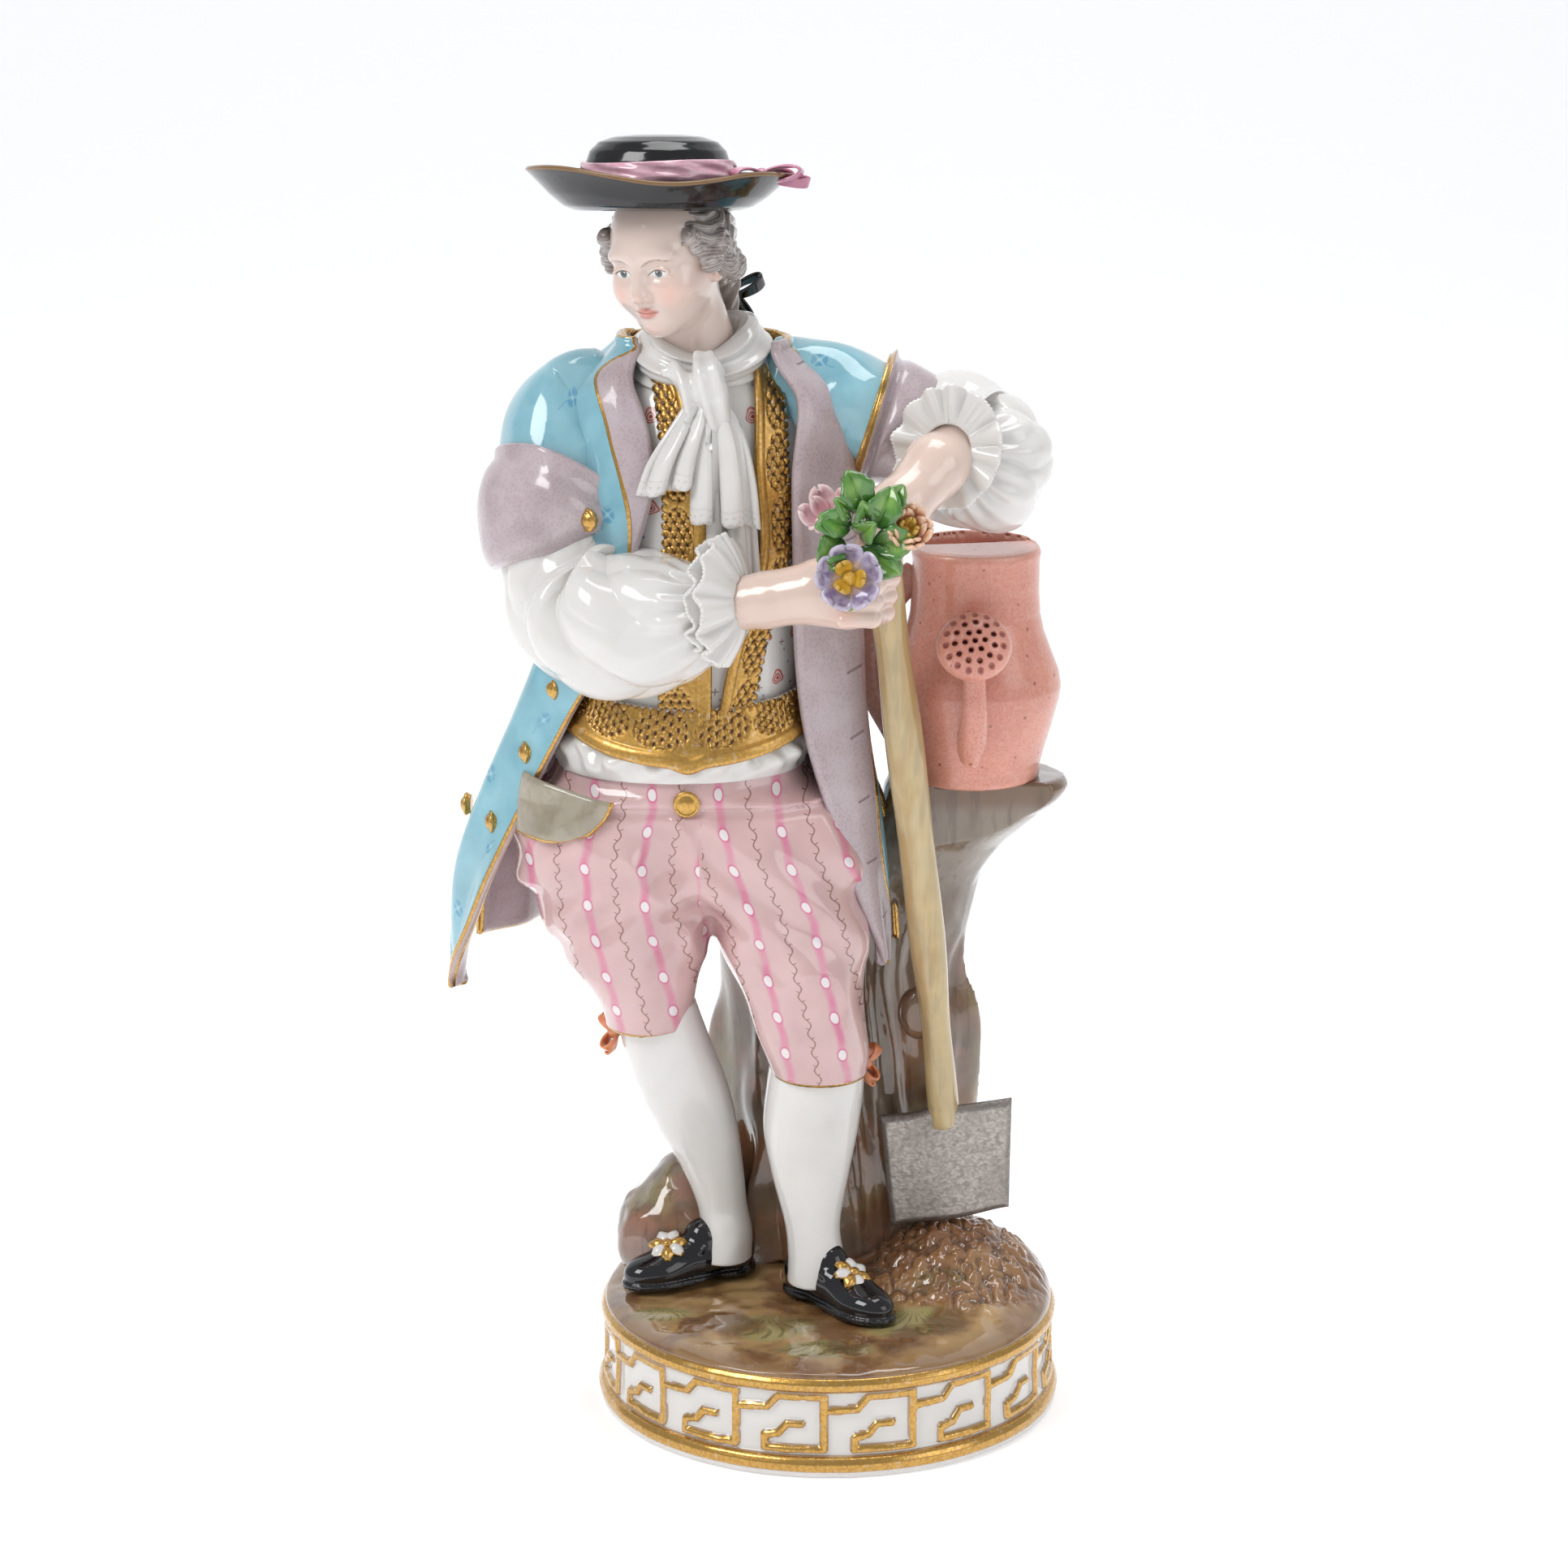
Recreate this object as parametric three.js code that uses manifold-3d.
// A porcelain figurine of a young gardener with a spade, a watering can and a posy, on a round plinth.
// Millimetres, +Z up, the figure faces -Y, and the origin is the middle of the plinth's underside.
// The pieces are those that a porcelain maker casts or models one by one and joins with slip.
import * as THREE from "three";
import { mergeVertices } from "three/addons/utils/BufferGeometryUtils.js";
import Module from "manifold-3d";

const wasm = await Module();
wasm.setup();

// ---------------------------------------------------------------- driving dimensions
const PLINTH_RADIUS = 35; // at the foot
const PLINTH_HEIGHT = 15.5;
const PLINTH_TAPER = 0.6; // how much narrower the top is, on the radius
const WALL = 3.2;
const VENT_RADIUS = 1.6; // lets the air out of the hollow base in the kiln
const VENT_OUT = 9.6; // from the middle of the base
const GROUND = 17; // where the shoes stand
const GAP = 0.3; // between neighbouring pieces
const HAT_HEIGHT = 9.1; // of the crown over the middle of the brim
const HAT_LEAN = -6.5; // degrees about X: the brim is higher in front
const V = (x, y, z) => new THREE.Vector3(x, y, z);

// The body's landmarks. "right" and "left" are the figure's own.
const hips = V(-21.5, -1, 88);
const chest = V(-18.5, 0, 138);
const neckBase = V(-18.5, 1, 156);
const headCentre = V(-22.5, -5, 175.5);
const hatCentre = V(-24.6, -5, 183);
const rightAnkle = V(-16.3, 3, 29);
const leftAnkle = V(-2.5, -6.5, 29);
const rightWrist = V(-12, -21, 128.5);
const leftWrist = V(16.5, -11, 147);
const rightFist = V(3, -24, 130.5);
const posy = V(3.3, -29, 138);
const canFoot = V(21.5, 5, 95.8);
const bladeMiddle = V(17.8, 1.5, 35.4);
const shaftFoot = V(18, 1.5, 45.2);
const shaftHead = V(5.8, -15, 142);

// ---------------------------------------------------------------- closed shapes
// A closed solid from a three.js geometry, turned right way out.
function solid(geometry) {
  geometry.deleteAttribute("normal");
  geometry.deleteAttribute("uv");
  const merged = mergeVertices(geometry, 1e-4);
  const make = (triVerts) =>
    new wasm.Manifold(
      new wasm.Mesh({ numProp: 3, vertProperties: merged.attributes.position.array, triVerts }),
    );
  const triangles = new Uint32Array(merged.index.array);
  const made = make(triangles);
  return made.volume() > 0 ? made : make(triangles.reverse());
}

// Moves every vertex of a geometry to place(x, y, z).
function bend(geometry, place) {
  const at = geometry.attributes.position;
  for (let i = 0; i < at.count; i++) {
    const p = place(at.getX(i), at.getY(i), at.getZ(i));
    at.setXYZ(i, p.x, p.y, p.z);
  }
  return geometry;
}

// The world axis that a path keeps furthest from along its whole length.
function squareTo(path) {
  const lean = (axis) => {
    const leans = [0, 0.2, 0.4, 0.6, 0.8, 1].map((t) => Math.abs(path.getTangent(t).dot(axis)));
    return Math.max(...leans);
  };
  return [V(1, 0, 0), V(0, 1, 0), V(0, 0, 1)].sort((a, b) => lean(a) - lean(b))[0];
}

// A tube through rings of [x, y, z, radius across, radius front to back]. Its rings lie flat
// if level is true, and otherwise stand square to the path.
function tube(rings, { sides = 10, steps = 6, level = false } = {}) {
  const centres = new THREE.CatmullRomCurve3(rings.map((r) => V(r[0], r[1], r[2])));
  const radii = new THREE.CatmullRomCurve3(rings.map((r) => V(r[3], r[4] ?? r[3], 0)));
  const square = squareTo(centres);
  return (grow = 0) =>
    solid(
      bend(new THREE.CylinderGeometry(1, 1, 1, sides, steps), (x, y, z) => {
        const t = THREE.MathUtils.clamp(0.5 - y, 0, 1);
        const centre = centres.getPoint(t);
        const along = centres.getTangent(t);
        const radius = radii.getPoint(t);
        const front = level ? V(0, 1, 0) : along.clone().cross(square).normalize();
        const across = level ? V(1, 0, 0) : front.clone().cross(along).normalize();
        const end = Math.abs(y) > 0.499 ? Math.sign(-y) * grow : 0;
        return centre
          .addScaledVector(across, x * (radius.x + grow))
          .addScaledVector(front, z * (radius.y + grow))
          .addScaledVector(along, end);
      }),
    );
}

// An ellipsoid, turned by angles in degrees about X, Y and Z.
function ball(centre, [rx, ry, rz], { turn = [0, 0, 0], sides = 10, steps = 6 } = {}) {
  const angles = new THREE.Euler(...turn.map(THREE.MathUtils.degToRad));
  return (grow = 0) =>
    solid(
      bend(new THREE.SphereGeometry(1, sides, steps), (x, y, z) =>
        V(x * (rx + grow), y * (ry + grow), z * (rz + grow)).applyEuler(angles).add(centre),
      ),
    );
}

// A closed profile of [radius, height] pairs turned about an axis through a point. The axis is
// vertical, or leans by degrees about X.
function turned(profile, centre, { sides = 20, lean = 0 } = {}) {
  const angle = THREE.MathUtils.degToRad(lean);
  const points = profile.map(([r, h]) => new THREE.Vector2(r, h));
  const middle = new THREE.Box2().setFromPoints(points).getCenter(new THREE.Vector2());
  return (grow = 0) => {
    const swollen = points.map((p) => {
      const h = p.y + Math.sign(p.y - middle.y) * grow;
      return new THREE.Vector2(p.x > 0 ? p.x + grow : 0, h);
    });
    return solid(
      bend(new THREE.LatheGeometry(swollen, sides), (x, y, z) =>
        V(x, -z, y).applyAxisAngle(V(1, 0, 0), angle).add(centre),
      ),
    );
  };
}

// A sheet with thickness: place(u, v, w) takes u and v from 0 to 1 over the sheet,
// and w in millimetres through it.
function sheet(place, thickness, { across = 10, along = 8 } = {}) {
  const step = 0.02;
  const edge = (a) => (Math.abs(a) > 0.499 ? Math.sign(a) * step : 0);
  return (grow = 0) =>
    solid(
      bend(new THREE.BoxGeometry(1, 1, 1, across, along, 1), (x, y, z) => {
        const [u, v, w] = [x + 0.5, 0.5 - y, z * (thickness + 2 * grow)];
        const p = place(u, v, w);
        const outAcross = p.clone().sub(place(u - edge(x), v, w)).setLength(edge(x) ? grow : 0);
        const outAlong = p.clone().sub(place(u, v + edge(y), w)).setLength(edge(y) ? grow : 0);
        return p.add(outAcross).add(outAlong);
      }),
    );
}

// A sheet wrapped round an upright body. levels holds [z, middle x, middle y, radius across,
// radius front to back, first angle, last angle], from the top down. Angle 0 is the front,
// -90 the figure's right and 90 its left.
function wrap(levels, thickness, options) {
  const curve = (...picks) =>
    new THREE.CatmullRomCurve3(levels.map((l) => V(...picks.map((k) => l[k]))));
  const middles = curve(1, 2, 0);
  const shapes = curve(3, 4, 5);
  const ends = curve(6, 6, 6);
  return sheet(
    (u, v, w) => {
      const c = middles.getPoint(v);
      const s = shapes.getPoint(v);
      const angle = THREE.MathUtils.degToRad(s.z + (ends.getPoint(v).x - s.z) * u);
      return V(c.x + (s.x + w) * Math.sin(angle), c.y - (s.y + w) * Math.cos(angle), c.z);
    },
    thickness,
    options,
  );
}

// A frilled disc round a wrist, facing along a direction.
function frill(centre, facing, radius, thickness) {
  const turn = new THREE.Quaternion().setFromUnitVectors(V(0, 1, 0), facing.clone().normalize());
  return (grow = 0) =>
    solid(
      bend(
        new THREE.CylinderGeometry(radius + grow, radius * 0.62 + grow, thickness + 2 * grow, 14, 1),
        (x, y, z) => V(x, y, z).applyQuaternion(turn).add(centre),
      ),
    );
}

// ---------------------------------------------------------------- base
// A shallow bowl, upside up, with mouldings top and bottom and a vent beside the middle of its floor.
function plinth() {
  const top = PLINTH_RADIUS - PLINTH_TAPER;
  const inner = PLINTH_RADIUS - WALL;
  const bowl = turned(
    [
      [0, 0],
      [PLINTH_RADIUS - 0.5, 0],
      [PLINTH_RADIUS, 0.6],
      [PLINTH_RADIUS, 2.4],
      [top - 0.5, 3.2],
      [top - 0.9, PLINTH_HEIGHT - 2.6],
      [top, PLINTH_HEIGHT - 1.8],
      [top, PLINTH_HEIGHT - 0.6],
      [top - 0.6, PLINTH_HEIGHT],
      [inner - 1, PLINTH_HEIGHT],
      [inner - 0.6, WALL],
      [0, WALL],
    ],
    V(0, 0, 0),
    { sides: 32 },
  );
  const vent = new THREE.CylinderGeometry(VENT_RADIUS, VENT_RADIUS, 3 * WALL, 12);
  return () => bowl().subtract(solid(bend(vent, (x, y, z) => V(x + VENT_OUT, z, y))));
}

// Banks of earth: middle x and y, spread in x and in y, and height.
const dugHeap = [19.8, 3.5, 14, 14, 9.5]; // under the spade's blade
const backBank = [-20, 20, 14, 11, 6]; // behind the rock

// The earth's height over the plinth: low in front, banked up behind on both sides.
function earthHeight(x, y) {
  const bank = ([cx, cy, rx, ry, h]) => h * Math.exp(-(((x - cx) / rx) ** 2) - ((y - cy) / ry) ** 2);
  return GROUND + bank(dugHeap) + bank(backBank);
}

// A disc with rings from the middle out, its top lifted to the earth's height and its rim rounded.
function ground() {
  const edge = PLINTH_RADIUS - PLINTH_TAPER - 0.6;
  const rings = [0, 0.2, 0.4, 0.6, 0.78, 0.92, 1];
  const profile = rings.map((r) => new THREE.Vector2(r * edge, 1));
  profile.push(new THREE.Vector2(edge, 0), new THREE.Vector2(0, 0));
  return solid(
    bend(new THREE.LatheGeometry(profile.reverse(), 24), (x, y, z) => {
      const out = Math.hypot(x, z) / edge;
      const rim = Math.sqrt(Math.max(0, 1 - out ** 8));
      const lift = (earthHeight(x, -z) - PLINTH_HEIGHT - 1) * (0.35 * rim + 0.65 * rim ** 2);
      return V(x, -z, PLINTH_HEIGHT + GAP + (y > 0.5 ? 0.7 + lift * (out > 0.99 ? 0 : 1) : 0));
    }),
  );
}

const rock = ball(V(-23.5, 9, 24.5), [9.4, 8, 12.4], { turn: [8, -14, 20], sides: 9, steps: 6 });

const stump = tube(
  [
    [0, 15, 16.5, 20.5, 12.5],
    [0, 15, 34, 19.5, 11.5],
    [-1, 14.5, 54, 21.5, 10.8],
    [0.5, 13.5, 71, 20.8, 10],
    [11.5, 10, 84, 16.2, 9.6],
    [20.5, 6.5, 92.2, 14.4, 11],
    [22, 5.5, 95.5, 13.4, 10.4],
  ],
  { level: true, sides: 11, steps: 8 },
);

// ---------------------------------------------------------------- tools beside the figure
const spadeShaft = tube(
  [
    [shaftFoot.x, shaftFoot.y, shaftFoot.z - 3, 2.3],
    [14.2, -4.2, 80, 2.5],
    [8, -13, 125, 2.7],
    [shaftHead.x, shaftHead.y, shaftHead.z - 0.6, 2.7],
    [shaftHead.x - 0.2, shaftHead.y, shaftHead.z + 1.6, 1.2],
  ],
  { sides: 9, steps: 5 },
);

// The blade narrows downwards and leans back a little.
const spadeBlade = sheet(
  (u, v, w) => {
    const half = 10 - 1.2 * v;
    const skew = 3 * (u - 0.5) * (1 - 0.4 * v);
    return V(
      bladeMiddle.x + (2 * u - 1) * half + 1.2 * v,
      bladeMiddle.y + w + 1.5 * (v - 0.5),
      bladeMiddle.z + 9.2 - 18 * v + skew,
    );
  },
  2.2,
  { across: 4, along: 2 },
);

const canBody = turned(
  [
    [0, 0],
    [9.4, 0],
    [9.9, 1],
    [10.6, 4],
    [12.4, 11],
    [12.5, 15.5],
    [10.6, 20.5],
    [9.5, 24.5],
    [9.4, 34],
    [9.9, 35],
    [9.4, 35.8],
    [8.2, 35.2],
    [0, 34.6],
  ],
  canFoot,
);
const canHandle = tube(
  [
    [12.6, 6, 126, 1.3, 2.2],
    [8.5, 6.5, 121, 1.3, 2.2],
    [7.4, 7, 113, 1.3, 2.2],
    [8.2, 6.5, 105, 1.3, 2.2],
    [12, 6, 102, 1.3, 2.2],
  ],
  { sides: 6, steps: 6 },
);
const canSpout = tube(
  [
    [20.9, -4.5, 104, 3],
    [20.8, -8.5, 108, 2.3],
    [20.8, -10.5, 113, 2],
    [20.8, -11.3, 117.5, 2.4],
  ],
  { sides: 7, steps: 4 },
);
const canRose = ball(V(20.8, -12, 120), [5.3, 2.3, 4.8], { turn: [-28, 0, 0], sides: 11, steps: 5 });

// ---------------------------------------------------------------- legs
const rightStocking = tube(
  [
    [-25.8, -5.2, 66, 5.6],
    [-24.6, -4, 58, 6.4],
    [-22.3, -1.5, 50, 6.9],
    [-20, 0.5, 42.5, 5.9],
    [-17.8, 2, 35.5, 4.5],
    [rightAnkle.x, rightAnkle.y, rightAnkle.z, 3.8],
    [-16.4, 2.6, 22, 3.6],
  ],
  { level: true },
);
const leftStocking = tube(
  [
    [-1.8, -7.4, 60, 6.2],
    [-2.1, -6, 51, 7.2],
    [-2.7, -4.5, 44, 7],
    [-2.8, -5, 37, 5.5],
    [leftAnkle.x, leftAnkle.y, leftAnkle.z, 4.1],
    [-2.2, -7.6, 22, 3.7],
  ],
  { level: true },
);

// A low-heeled buckle shoe from its heel to its toe, in plan.
function shoe(heel, toe) {
  const length = heel.distanceTo(toe);
  const forward = toe.clone().sub(heel).normalize();
  const side = V(forward.y, -forward.x, 0);
  return (grow = 0) =>
    solid(
      bend(new THREE.SphereGeometry(1, 12, 8), (x, y, z) => {
        const t = 0.5 + x / 2; // 0 at the heel, 1 at the toe
        const width = 3.5 + 0.7 * Math.sin(Math.PI * t) - 0.6 * (t > 0.8) + grow;
        const height = (z > 0 ? 9.6 - 6.6 * Math.min(1, t * 1.45) : 1.2) + grow;
        const up = Math.max(z * height, -1.2 - grow);
        return heel
          .clone()
          .addScaledVector(forward, length * t + x * grow)
          .addScaledVector(side, y * width)
          .add(V(0, 0, 1.6 + up));
      }),
    );
}
const shoeGround = GROUND + 0.4;
const rightShoe = shoe(V(-11.9, 5, shoeGround), V(-30, -4, shoeGround));
const leftShoe = shoe(V(-6.7, -3.2, shoeGround), V(8.2, -18, shoeGround));
const rightBuckle = ball(V(-24.4, -1.4, 23.2), [3, 3.2, 1.2], { turn: [12, -26, 0], sides: 7, steps: 4 });
const leftBuckle = ball(V(3.4, -13.4, 23.2), [3, 3.2, 1.2], { turn: [22, 20, 0], sides: 7, steps: 4 });

// ---------------------------------------------------------------- breeches
const seat = tube(
  [
    [-22, -1, 101, 18, 12],
    [-22, -1, 95, 20.8, 13],
    [hips.x, hips.y, hips.z, 24.4, 13.8],
    [-20, -2, 80, 24, 13],
    [-19, -3, 76, 18, 9],
  ],
  { level: true, sides: 14 },
);
const rightThigh = tube(
  [
    [-33, -1, 90, 12.5, 12.5],
    [-30.6, -3, 79, 11.2, 11],
    [-28.6, -4.5, 70, 9.1, 9.2],
    [-26.8, -5.2, 60.5, 7, 7.2],
  ],
  { level: true },
);
const leftThigh = tube(
  [
    [-9, -2, 90, 12.8, 12.5],
    [-6.6, -4, 78, 11.2, 11],
    [-4.6, -5.8, 69, 9.7, 9.8],
    [-2.2, -7.6, 61, 8.4, 8.6],
    [-1.4, -7.8, 54, 7.6, 7.8],
  ],
  { level: true },
);
const breeches = (grow = 0) => seat(grow).add(rightThigh(grow)).add(leftThigh(grow));
const rightGarter = ball(V(-33.2, -3, 58.5), [1.5, 3, 3.2], { sides: 6, steps: 4 });
const leftGarter = ball(V(6.8, -5.6, 54), [1.6, 3, 3.6], { sides: 6, steps: 4 });
const waistbandButton = ball(V(-20.8, -14.2, 96.8), [1.7, 0.9, 1.5], { sides: 9, steps: 4 });
const pocketFlap = ball(V(-36.5, -9.8, 93.5), [7.6, 2.2, 3.8], { turn: [0, 8, 38], sides: 9, steps: 5 });

// ---------------------------------------------------------------- shirt, waistcoat and neckcloth
const waistcoat = tube(
  [
    [-21, -1.2, 105.2, 17.2, 12.6],
    [-20.6, -1, 112, 16, 11.8],
    [-19.6, -0.6, 122, 15.4, 11.4],
    [chest.x, chest.y, chest.z, 16.4, 12],
    [-18.4, 0.4, 149, 16.6, 10.4],
    [neckBase.x, neckBase.y, neckBase.z, 9, 7.4],
  ],
  { level: true, sides: 11, steps: 8 },
);
const shirtTail = tube(
  [
    [-21.4, -1.2, 104.8, 17.4, 12.6],
    [-21.8, -1.2, 102, 18, 12.7],
  ],
  { level: true, sides: 11, steps: 2 },
);
const hemLace = wrap(
  [
    [110.5, -21, -1, 17.2, 12.9, -76, 66],
    [105, -21, -1, 18.3, 13.7, -80, 68],
  ],
  1.2,
  { across: 8, along: 2 },
);
const rightFrontLace = wrap(
  [
    [146, -18.6, 0, 17.2, 12.3, -42, -30],
    [138, -18.6, 0, 17.2, 12.9, -32, -12],
    [124, -19.4, -0.6, 16.2, 12.3, -24, -4],
    [111.5, -20.6, -1, 16.9, 12.7, -20, -2],
  ],
  1.2,
  { across: 2, along: 6 },
);
const leftFrontLace = wrap(
  [
    [157, -17, 0.4, 11.5, 9.2, 20, 38],
    [147, -18.4, 0, 17.2, 11.9, 17, 35],
    [134, -18.8, 0, 17, 12.7, 16, 33],
    [122, -19.6, -0.6, 16.2, 12.1, 8, 26],
    [111.5, -20.6, -1, 16.9, 12.7, 1, 18],
  ],
  1.2,
  { across: 2, along: 6 },
);
const neckcloth = turned(
  [
    [4.6, -3],
    [9.4, -3.4],
    [9.2, 0],
    [7.8, 3.2],
    [6.4, 3.6],
    [5.6, 2.6],
    [4.6, -3],
  ],
  V(-18.8, 0.6, 160),
  { sides: 14 },
);
const cravatKnot = ball(V(-17.4, -10.6, 156.6), [3.2, 2.6, 3.4], { sides: 7, steps: 5 });
const rightJabot = tube(
  [
    [-18.5, -12.3, 153.4, 2.6, 1.6],
    [-21.5, -14.4, 147, 4.2, 2],
    [-24.2, -15.4, 140.2, 5.4, 2.2],
  ],
  { level: true, sides: 9, steps: 3 },
);
const leftJabot = tube(
  [
    [-15.8, -12.3, 153.4, 2.2, 1.6],
    [-14, -14.6, 145, 3.4, 1.9],
    [-13.6, -15.2, 136.5, 4, 2],
    [-12.8, -15, 128.6, 3, 1.6],
  ],
  { level: true, sides: 9, steps: 4 },
);

// ---------------------------------------------------------------- coat
const coatBack = wrap(
  [
    [162.5, -18.2, 2.6, 10.5, 8.2, 112, 248],
    [154, -17.6, 2.4, 22, 13, 96, 262],
    [140, -18.8, 2, 22, 15.2, 85, 269],
    [120, -20, 1.5, 21.5, 14.8, 84, 270],
    [104, -21, 1.5, 23.5, 15.8, 88, 268],
    [88, -21, 2, 29.4, 18.4, 92, 264],
    [70.5, -20.6, 3, 32, 20.2, 96, 259],
  ],
  2.4,
  { across: 11, along: 7 },
);
const coatRightFront = wrap(
  [
    [163, -18.6, 1, 11.5, 9.2, -120, -62],
    [154, -18.2, 1.2, 22, 13.4, -100, -37],
    [142, -18.6, 1, 23, 14.9, -94, -27],
    [126, -19.8, 0.8, 22.6, 15.2, -90, -28],
    [108, -21, 0.8, 25.2, 16.2, -92, -46],
    [92, -21.5, 1.4, 30.8, 17.6, -95, -56],
    [76, -22, 2, 34.6, 19, -98, -66],
    [64, -22, 2.6, 35, 19.6, -92, -85],
  ],
  2.2,
  { across: 5, along: 7 },
);
const coatLeftFront = wrap(
  [
    [162.5, -18, 1.2, 11.5, 9.2, 56, 118],
    [154, -18, 1.4, 21, 13.2, 41, 98],
    [142, -18.2, 1.2, 22.4, 14.8, 36, 92],
    [126, -19.3, 0.6, 23.6, 15, 38, 90],
    [108, -20.3, 0.4, 25.2, 16.1, 44, 90],
    [92, -20, 0.6, 27, 17.5, 52, 93],
    [78, -20, 1.2, 28.6, 18.5, 63, 94],
    [68.4, -20, 1.6, 29, 19, 78, 84],
  ],
  2.2,
  { across: 5, along: 7 },
);
const rightShoulder = tube(
  [
    [-30, 1.6, 152.5, 6.5, 8],
    [-36.5, 1, 150.4, 8, 8.6],
    [-39, -0.4, 143.6, 7.6, 8.4],
  ],
  { sides: 11, steps: 4 },
);
const leftShoulder = tube(
  [
    [-7, 2.2, 152.5, 6.5, 8],
    [0.5, 2.6, 152, 7.4, 8.4],
    [6.6, 2.2, 151, 7.2, 7.6],
  ],
  { sides: 11, steps: 4 },
);
const rightCuff = tube(
  [
    [-38.6, -1.4, 143.8, 9.6, 9.6],
    [-39.6, -3.4, 137.5, 11, 10.4],
    [-39.8, -4.4, 131.2, 9.6, 9.2],
  ],
  { sides: 11, steps: 3 },
);
const leftCuff = tube(
  [
    [5.6, 2.2, 151, 8.4, 8.4],
    [9.8, 2, 150, 8.8, 8.6],
    [13.4, 1.6, 148.6, 8.2, 8],
  ],
  { sides: 11, steps: 3 },
);
const buttonSpots = [
  V(-33.4, -11.8, 138.4), // beside the neck opening
  V(-39.4, -8.2, 112.6), // down the right front
  V(-43.6, -6.6, 102.6),
  V(-48.6, -4.2, 91.4),
  V(-52.2, 2.6, 92), // at the right pleat
  V(8.2, -3.6, 96.4), // at the left pleat
];
const button = (spot) => {
  const outward = V(spot.x + 20, spot.y, 0).normalize();
  return ball(spot.clone().addScaledVector(outward, 0.8), [1.4, 1.4, 1.4], { sides: 7, steps: 4 });
};

// ---------------------------------------------------------------- arms and hands
const rightSleeve = tube(
  [
    [-39.6, -4.4, 134, 7.4, 7.4],
    [-40.4, -6.4, 125, 8.2, 8.2],
    [-36.4, -10.4, 120.6, 8.8, 8.8],
    [-28.6, -14, 121.4, 9.2, 8.8],
    [-20.6, -17.6, 124.8, 7.8, 7.6],
    [-15.4, -20, 127.4, 4.8, 4.6],
  ],
  { sides: 11, steps: 8 },
);
const leftSleeve = tube(
  [
    [12.4, 1.6, 149, 7, 7],
    [18.6, 2, 147, 9.4, 9.4],
    [22.4, -0.4, 144.6, 9.8, 9.6],
    [20, -5.4, 145.6, 7.8, 7.6],
    [18, -8.4, 146.6, 5, 5],
  ],
  { sides: 11, steps: 6 },
);
const rightRuffle = frill(V(-14.2, -20.4, 127.8), V(0.9, -0.3, 0.25), 8.4, 3.6);
const leftRuffle = frill(V(17.4, -9.6, 147), V(-0.25, -0.95, 0.05), 8.8, 3.4);

// A forearm that ends in a closed hand: a palm, with four fingers curled over it.
function hand(arm, palm, palmSize, fingers, fingerRadius) {
  return (grow = 0) => {
    let made = arm(grow).add(ball(palm, palmSize)(grow));
    for (const path of fingers) {
      const rings = path.map((p) => [p.x, p.y, p.z, fingerRadius, fingerRadius]);
      made = made.add(tube(rings, { sides: 6, steps: 3 })(grow));
    }
    return made;
  };
}
const rightHand = hand(
  tube(
    [
      [rightWrist.x - 2, rightWrist.y + 0.4, rightWrist.z - 0.4, 3.6, 3.6],
      [-7, -22, 129.4, 4, 3.8],
      [0, -23.6, 130.6, 4.6, 4.2],
    ],
    { sides: 9, steps: 3 },
  ),
  rightFist,
  [5.2, 4.2, 5],
  [0, 1, 2, 3].map((k) => [
    V(3, -27, 134.2 - 2.3 * k),
    V(7.4 - 0.2 * k, -26.4, 133.8 - 2.3 * k),
    V(8.8 - 0.4 * k, -22.8, 133.4 - 2.3 * k),
  ]),
  1.5,
);
const leftHand = hand(
  tube(
    [
      [leftWrist.x + 0.6, leftWrist.y + 1, leftWrist.z, 4, 4],
      [14.6, -13.6, 145.6, 4.5, 4.2],
      [10, -18.4, 140.8, 4.6, 4],
    ],
    { sides: 9, steps: 3 },
  ),
  V(9, -19.4, 139.4),
  [4.6, 3.6, 5.4],
  [0, 1, 2].map((k) => [
    V(9.6 - 2 * k, -21.4, 137.4 + 1.2 * k),
    V(8.6 - 2 * k, -22.6, 134.4 + 1.2 * k),
    V(8 - 2 * k, -20.6, 132.6 + 1.2 * k),
  ]),
  1.3,
);

// ---------------------------------------------------------------- posy
const nearPosy = (x, y, z) => posy.clone().add(V(x, y, z));
const violetFlower = ball(nearPosy(-1, -1.6, -4.4), [4.4, 2.2, 4.2], {
  turn: [-20, 0, 0],
  sides: 9,
  steps: 5,
});
const orangeFlower = ball(nearPosy(6, 0, 1.6), [3.2, 2.8, 3.2], { sides: 9, steps: 5 });
const pinkBud = ball(nearPosy(-3.8, 1.2, 4), [2.6, 2.2, 3], { turn: [0, 28, 0], sides: 7, steps: 5 });
const posyLeaves = ball(nearPosy(0.6, 0, 1.8), [5.6, 2.6, 5.6], { turn: [0, 12, 0], sides: 9, steps: 5 });

// ---------------------------------------------------------------- head
const head = ball(headCentre, [8.3, 9.9, 10.4], { turn: [-14, -8, -32], sides: 11, steps: 9 });
const neck = tube(
  [
    [neckBase.x, neckBase.y, neckBase.z + 0.6, 6.2, 6.2],
    [-19.4, -0.6, 163, 5.6, 5.8],
    [-20.6, -2.4, 169.5, 5.8, 6],
  ],
  { level: true, sides: 11, steps: 3 },
);
const hair = ball(headCentre.clone().add(V(1.6, 3, -0.4)), [11, 9.6, 8.4], {
  turn: [-10, -6, -30],
  sides: 18,
  steps: 12,
});
const queue = tube(
  [
    [-15.6, 6.8, 171, 2.4, 2],
    [-14.6, 8.4, 166.6, 2, 1.8],
    [-15, 9.2, 160, 1.4, 1.2],
  ],
  { level: true, sides: 7, steps: 3 },
);
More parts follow.
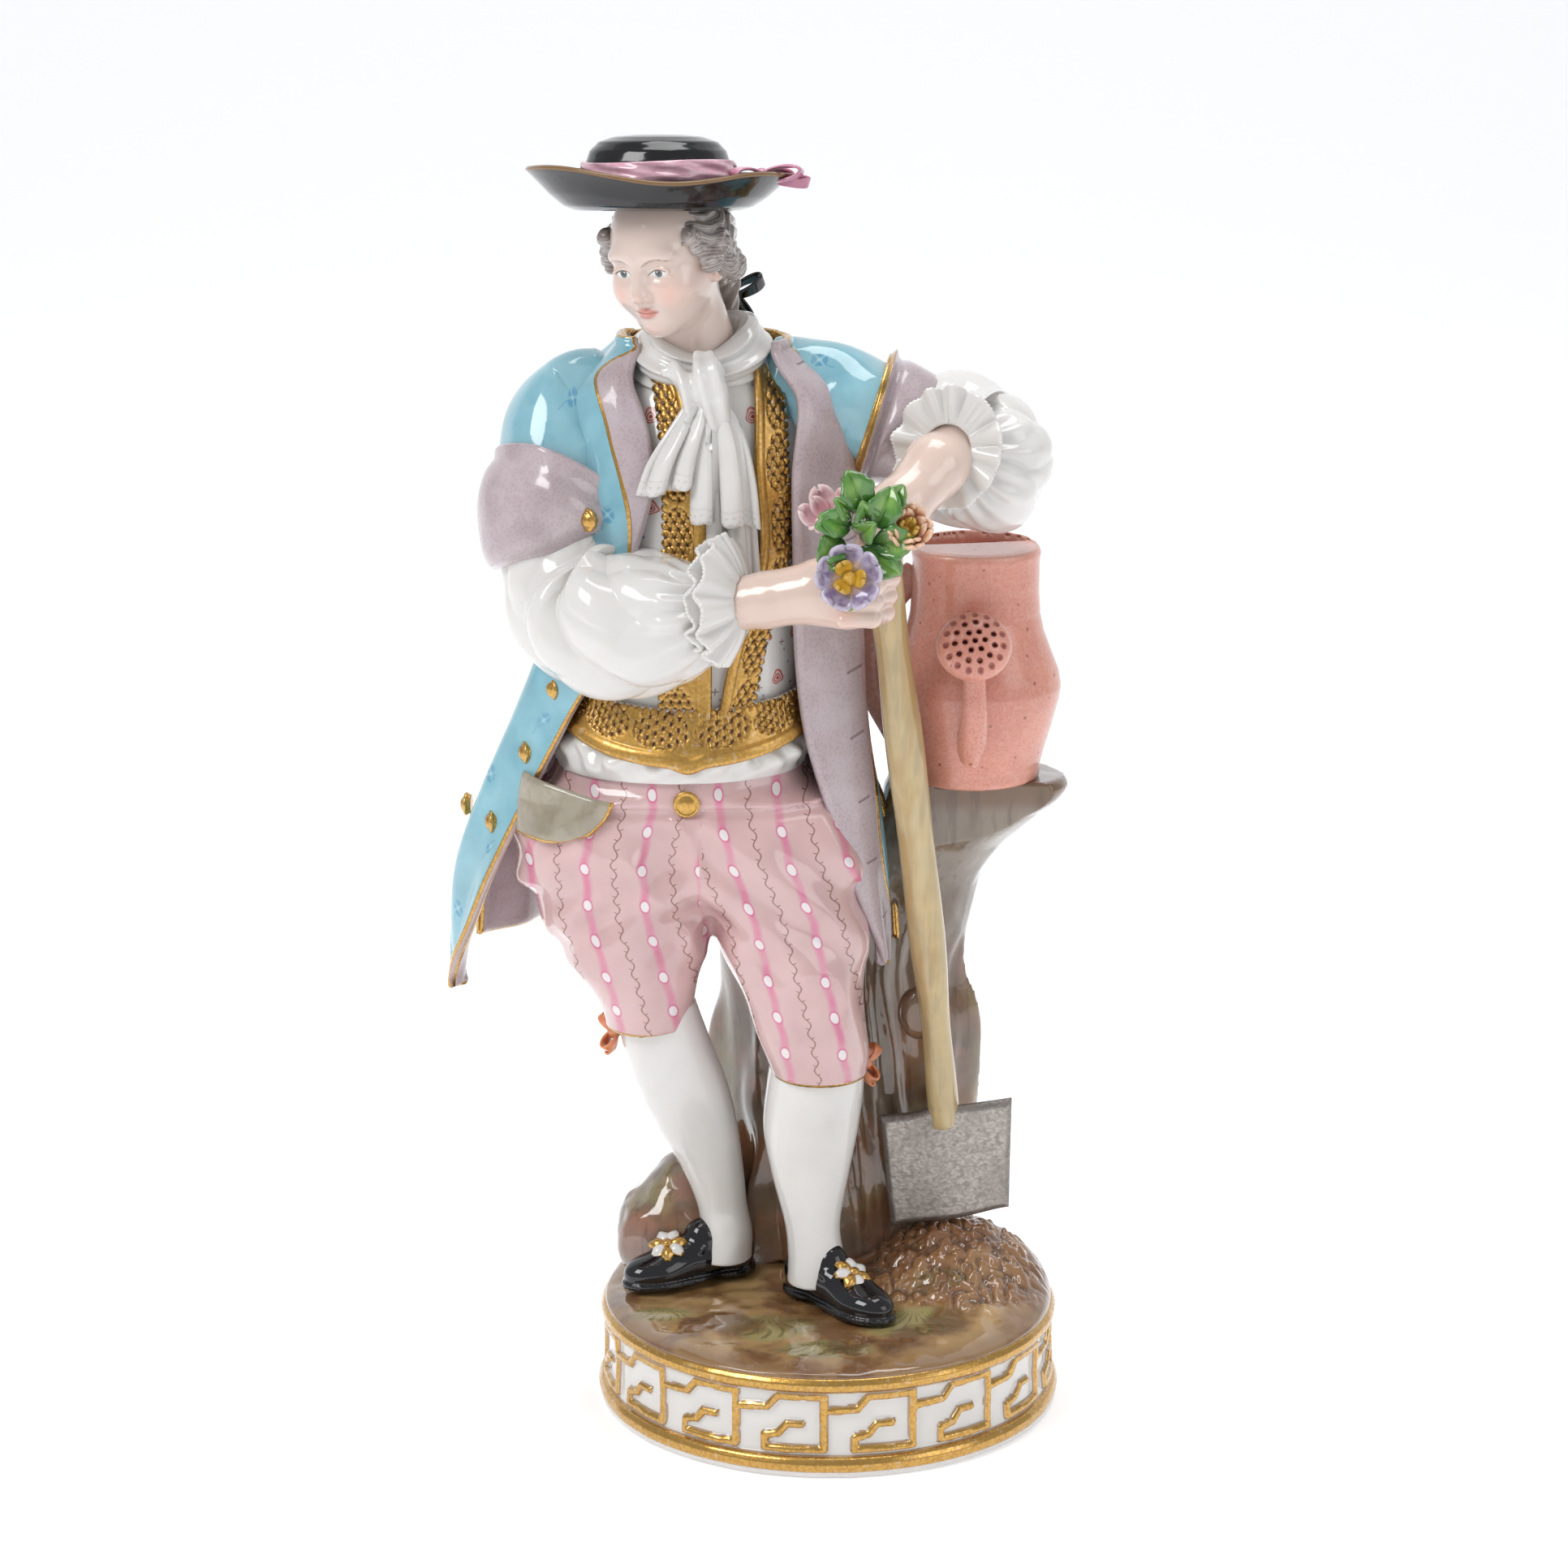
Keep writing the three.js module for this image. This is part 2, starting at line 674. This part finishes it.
const queueBow = ball(V(-14.2, 9.4, 167.8), [4.6, 1.8, 2.6], { turn: [0, 6, 0], sides: 7, steps: 4 });

// ---------------------------------------------------------------- hat
const brimRadius = 18.4;
const hatBrim = turned(
  [
    [0, -1.6],
    [11.6, -1.6],
    [15.4, -0.4],
    [brimRadius, 2.9],
    [brimRadius - 0.3, 3.5],
    [14.6, 1.2],
    [11, 0.2],
    [0, 0.2],
  ],
  hatCentre,
  { sides: 24, lean: HAT_LEAN },
);
const hatCrown = turned(
  [
    [0, -0.6],
    [10, -0.6],
    [10.4, 3.4],
    [9.8, HAT_HEIGHT - 2.6],
    [8, HAT_HEIGHT - 1],
    [4.6, HAT_HEIGHT - 0.2],
    [0, HAT_HEIGHT],
  ],
  hatCentre,
  { lean: HAT_LEAN },
);
const hatRibbon = turned(
  [
    [9.2, 2.4],
    [11.3, 2.4],
    [11, 5.2],
    [9.2, 5.2],
    [9.2, 2.4],
  ],
  hatCentre,
  { lean: HAT_LEAN },
);
const hatBow = tube(
  [
    [-13.4, -6.6, 186.2, 1.6, 1.2],
    [-10.2, -7.6, 187.2, 2, 1.2],
    [-7.2, -7.4, 186.6, 1.2, 1],
  ],
  { sides: 6, steps: 3 },
);

// ---------------------------------------------------------------- assembly
const paint = (hex, roughness = 0.12, metalness = 0) =>
  new THREE.MeshStandardMaterial({ color: hex, roughness, metalness });
const white = paint(0xeeecea);
const skin = paint(0xf1dacd);
const gold = paint(0xc08a2e, 0.3, 0.9);
const black = paint(0x0b0c0e, 0.08);
const blue = paint(0x86c4da);
const lilac = paint(0xbba9b2, 0.2);
const pink = paint(0xdcb4ba);
const terracotta = paint(0xd98b7c, 0.3);
const bark = paint(0x8d8070, 0.15);
const earth = paint(0xa08358, 0.15);
const leaf = paint(0x3f8f3a, 0.2);

// Name, shape and paint. A piece is cut back from every piece above it in the list that it would run into.
const pieces = [
  ["plinth", plinth(), white],
  ["ground", ground, earth],
  ["right_stocking", rightStocking, white],
  ["left_stocking", leftStocking, white],
  ["right_shoe", rightShoe, black],
  ["left_shoe", leftShoe, black],
  ["right_shoe_buckle", rightBuckle, gold],
  ["left_shoe_buckle", leftBuckle, gold],
  ["breeches", breeches, pink],
  ["waistcoat", waistcoat, white],
  ["shirt_tail", shirtTail, white],
  ["head", (grow) => head(grow).add(neck(grow)), skin],
  ["neckcloth", neckcloth, white],
  ["cravat_knot", cravatKnot, white],
  ["waistcoat_hem_lace", hemLace, gold],
  ["right_front_lace", rightFrontLace, gold],
  ["left_front_lace", leftFrontLace, gold],
  ["right_jabot_tail", rightJabot, white],
  ["left_jabot_tail", leftJabot, white],
  ["spade_shaft", spadeShaft, paint(0xd8c79c)],
  ["spade_blade", spadeBlade, paint(0x9a9694, 0.4, 0.5)],
  ["coat_back", coatBack, blue],
  ["coat_right_front", coatRightFront, blue],
  ["coat_left_front", coatLeftFront, blue],
  ["right_shoulder", rightShoulder, blue],
  ["left_shoulder", leftShoulder, blue],
  ["right_hand", rightHand, skin],
  ["left_hand", leftHand, skin],
  ["right_shirt_sleeve", rightSleeve, white],
  ["left_shirt_sleeve", leftSleeve, white],
  ["right_ruffle", rightRuffle, white],
  ["left_ruffle", leftRuffle, white],
  ["posy_leaves", posyLeaves, leaf],
  ["violet_flower", violetFlower, paint(0x8a7cab, 0.2)],
  ["orange_flower", orangeFlower, paint(0xe3a184, 0.2)],
  ["pink_bud", pinkBud, paint(0xe0a9b4, 0.2)],
  ["right_coat_cuff", rightCuff, lilac],
  ["left_coat_cuff", leftCuff, lilac],
  ...buttonSpots.map((spot, i) => [`coat_button_${i + 1}`, button(spot), gold]),
  ["waistband_button", waistbandButton, gold],
  ["pocket_flap", pocketFlap, paint(0xa39a86)],
  ["right_garter_bow", rightGarter, paint(0xd9744a)],
  ["left_garter_bow", leftGarter, paint(0xd9744a)],
  ["hair", hair, paint(0x9d8f8b, 0.3)],
  ["queue", queue, paint(0x9d8f8b, 0.3)],
  ["queue_bow", queueBow, black],
  ["hat", (grow) => hatBrim(grow).add(hatCrown(grow)), black],
  ["hat_ribbon", hatRibbon, paint(0xd48aa5)],
  ["hat_bow", hatBow, paint(0xd48aa5)],
  ["rock", rock, earth],
  ["stump", stump, bark],
  ["can_body", canBody, terracotta],
  ["can_handle", canHandle, terracotta],
  ["can_rose", canRose, terracotta],
  ["can_spout", canSpout, terracotta],
];

// The biggest of the bodies that a cut leaves; the others are offcuts.
function biggest(cut) {
  return cut.decompose().reduce((a, b) => (a.volume() > b.volume() ? a : b));
}

function near(a, b) {
  const p = a.boundingBox();
  const q = b.boundingBox();
  return [0, 1, 2].every((k) => p.min[k] < q.max[k] && q.min[k] < p.max[k]);
}

// Closes up the slivers that a cut leaves, by joining corners that almost touch,
// as far as the body stays closed.
function tidied(body) {
  for (const reach of [0.01, 0.015, 0.02, 0.03, 0.05, 0.08]) {
    const corners = mergeVertices(geometryOf(body), reach);
    const index = corners.index.array;
    const kept = new Map();
    for (let i = 0; i < index.length; i += 3) {
      const [a, b, c] = index.slice(i, i + 3);
      const key = [a, b, c].sort().join();
      if (kept.has(key)) kept.delete(key); // two faces back to back
      else if (a !== b && b !== c && a !== c) kept.set(key, [a, b, c]);
    }
    corners.setIndex([...kept.values()].flat());
    try {
      return biggest(solid(corners));
    } catch {
      // This reach pinched the body, so a wider one is tried.
    }
  }
  return body;
}

function geometryOf(body) {
  const { numProp, vertProperties, triVerts } = body.getMesh();
  const geometry = new THREE.BufferGeometry();
  geometry.setAttribute("position", new THREE.BufferAttribute(vertProperties, numProp));
  return geometry.setIndex(new THREE.BufferAttribute(triVerts, 1));
}

// A mesh whose own origin is the middle of the piece.
function meshOf(name, body, material) {
  const geometry = geometryOf(body);
  geometry.computeBoundingBox();
  const mesh = new THREE.Mesh(geometry, material);
  geometry.boundingBox.getCenter(mesh.position);
  geometry.translate(-mesh.position.x, -mesh.position.y, -mesh.position.z);
  geometry.computeVertexNormals();
  mesh.name = name;
  return mesh;
}

const figurine = new THREE.Group();
const cutters = [];
for (const [name, shape, material] of pieces) {
  let body = shape(0);
  for (const cutter of cutters) {
    if (near(body, cutter)) body = body.subtract(cutter);
  }
  body = tidied(biggest(body));
  cutters.push(shape(GAP));
  figurine.add(meshOf(name, body, material));
}

export default figurine;
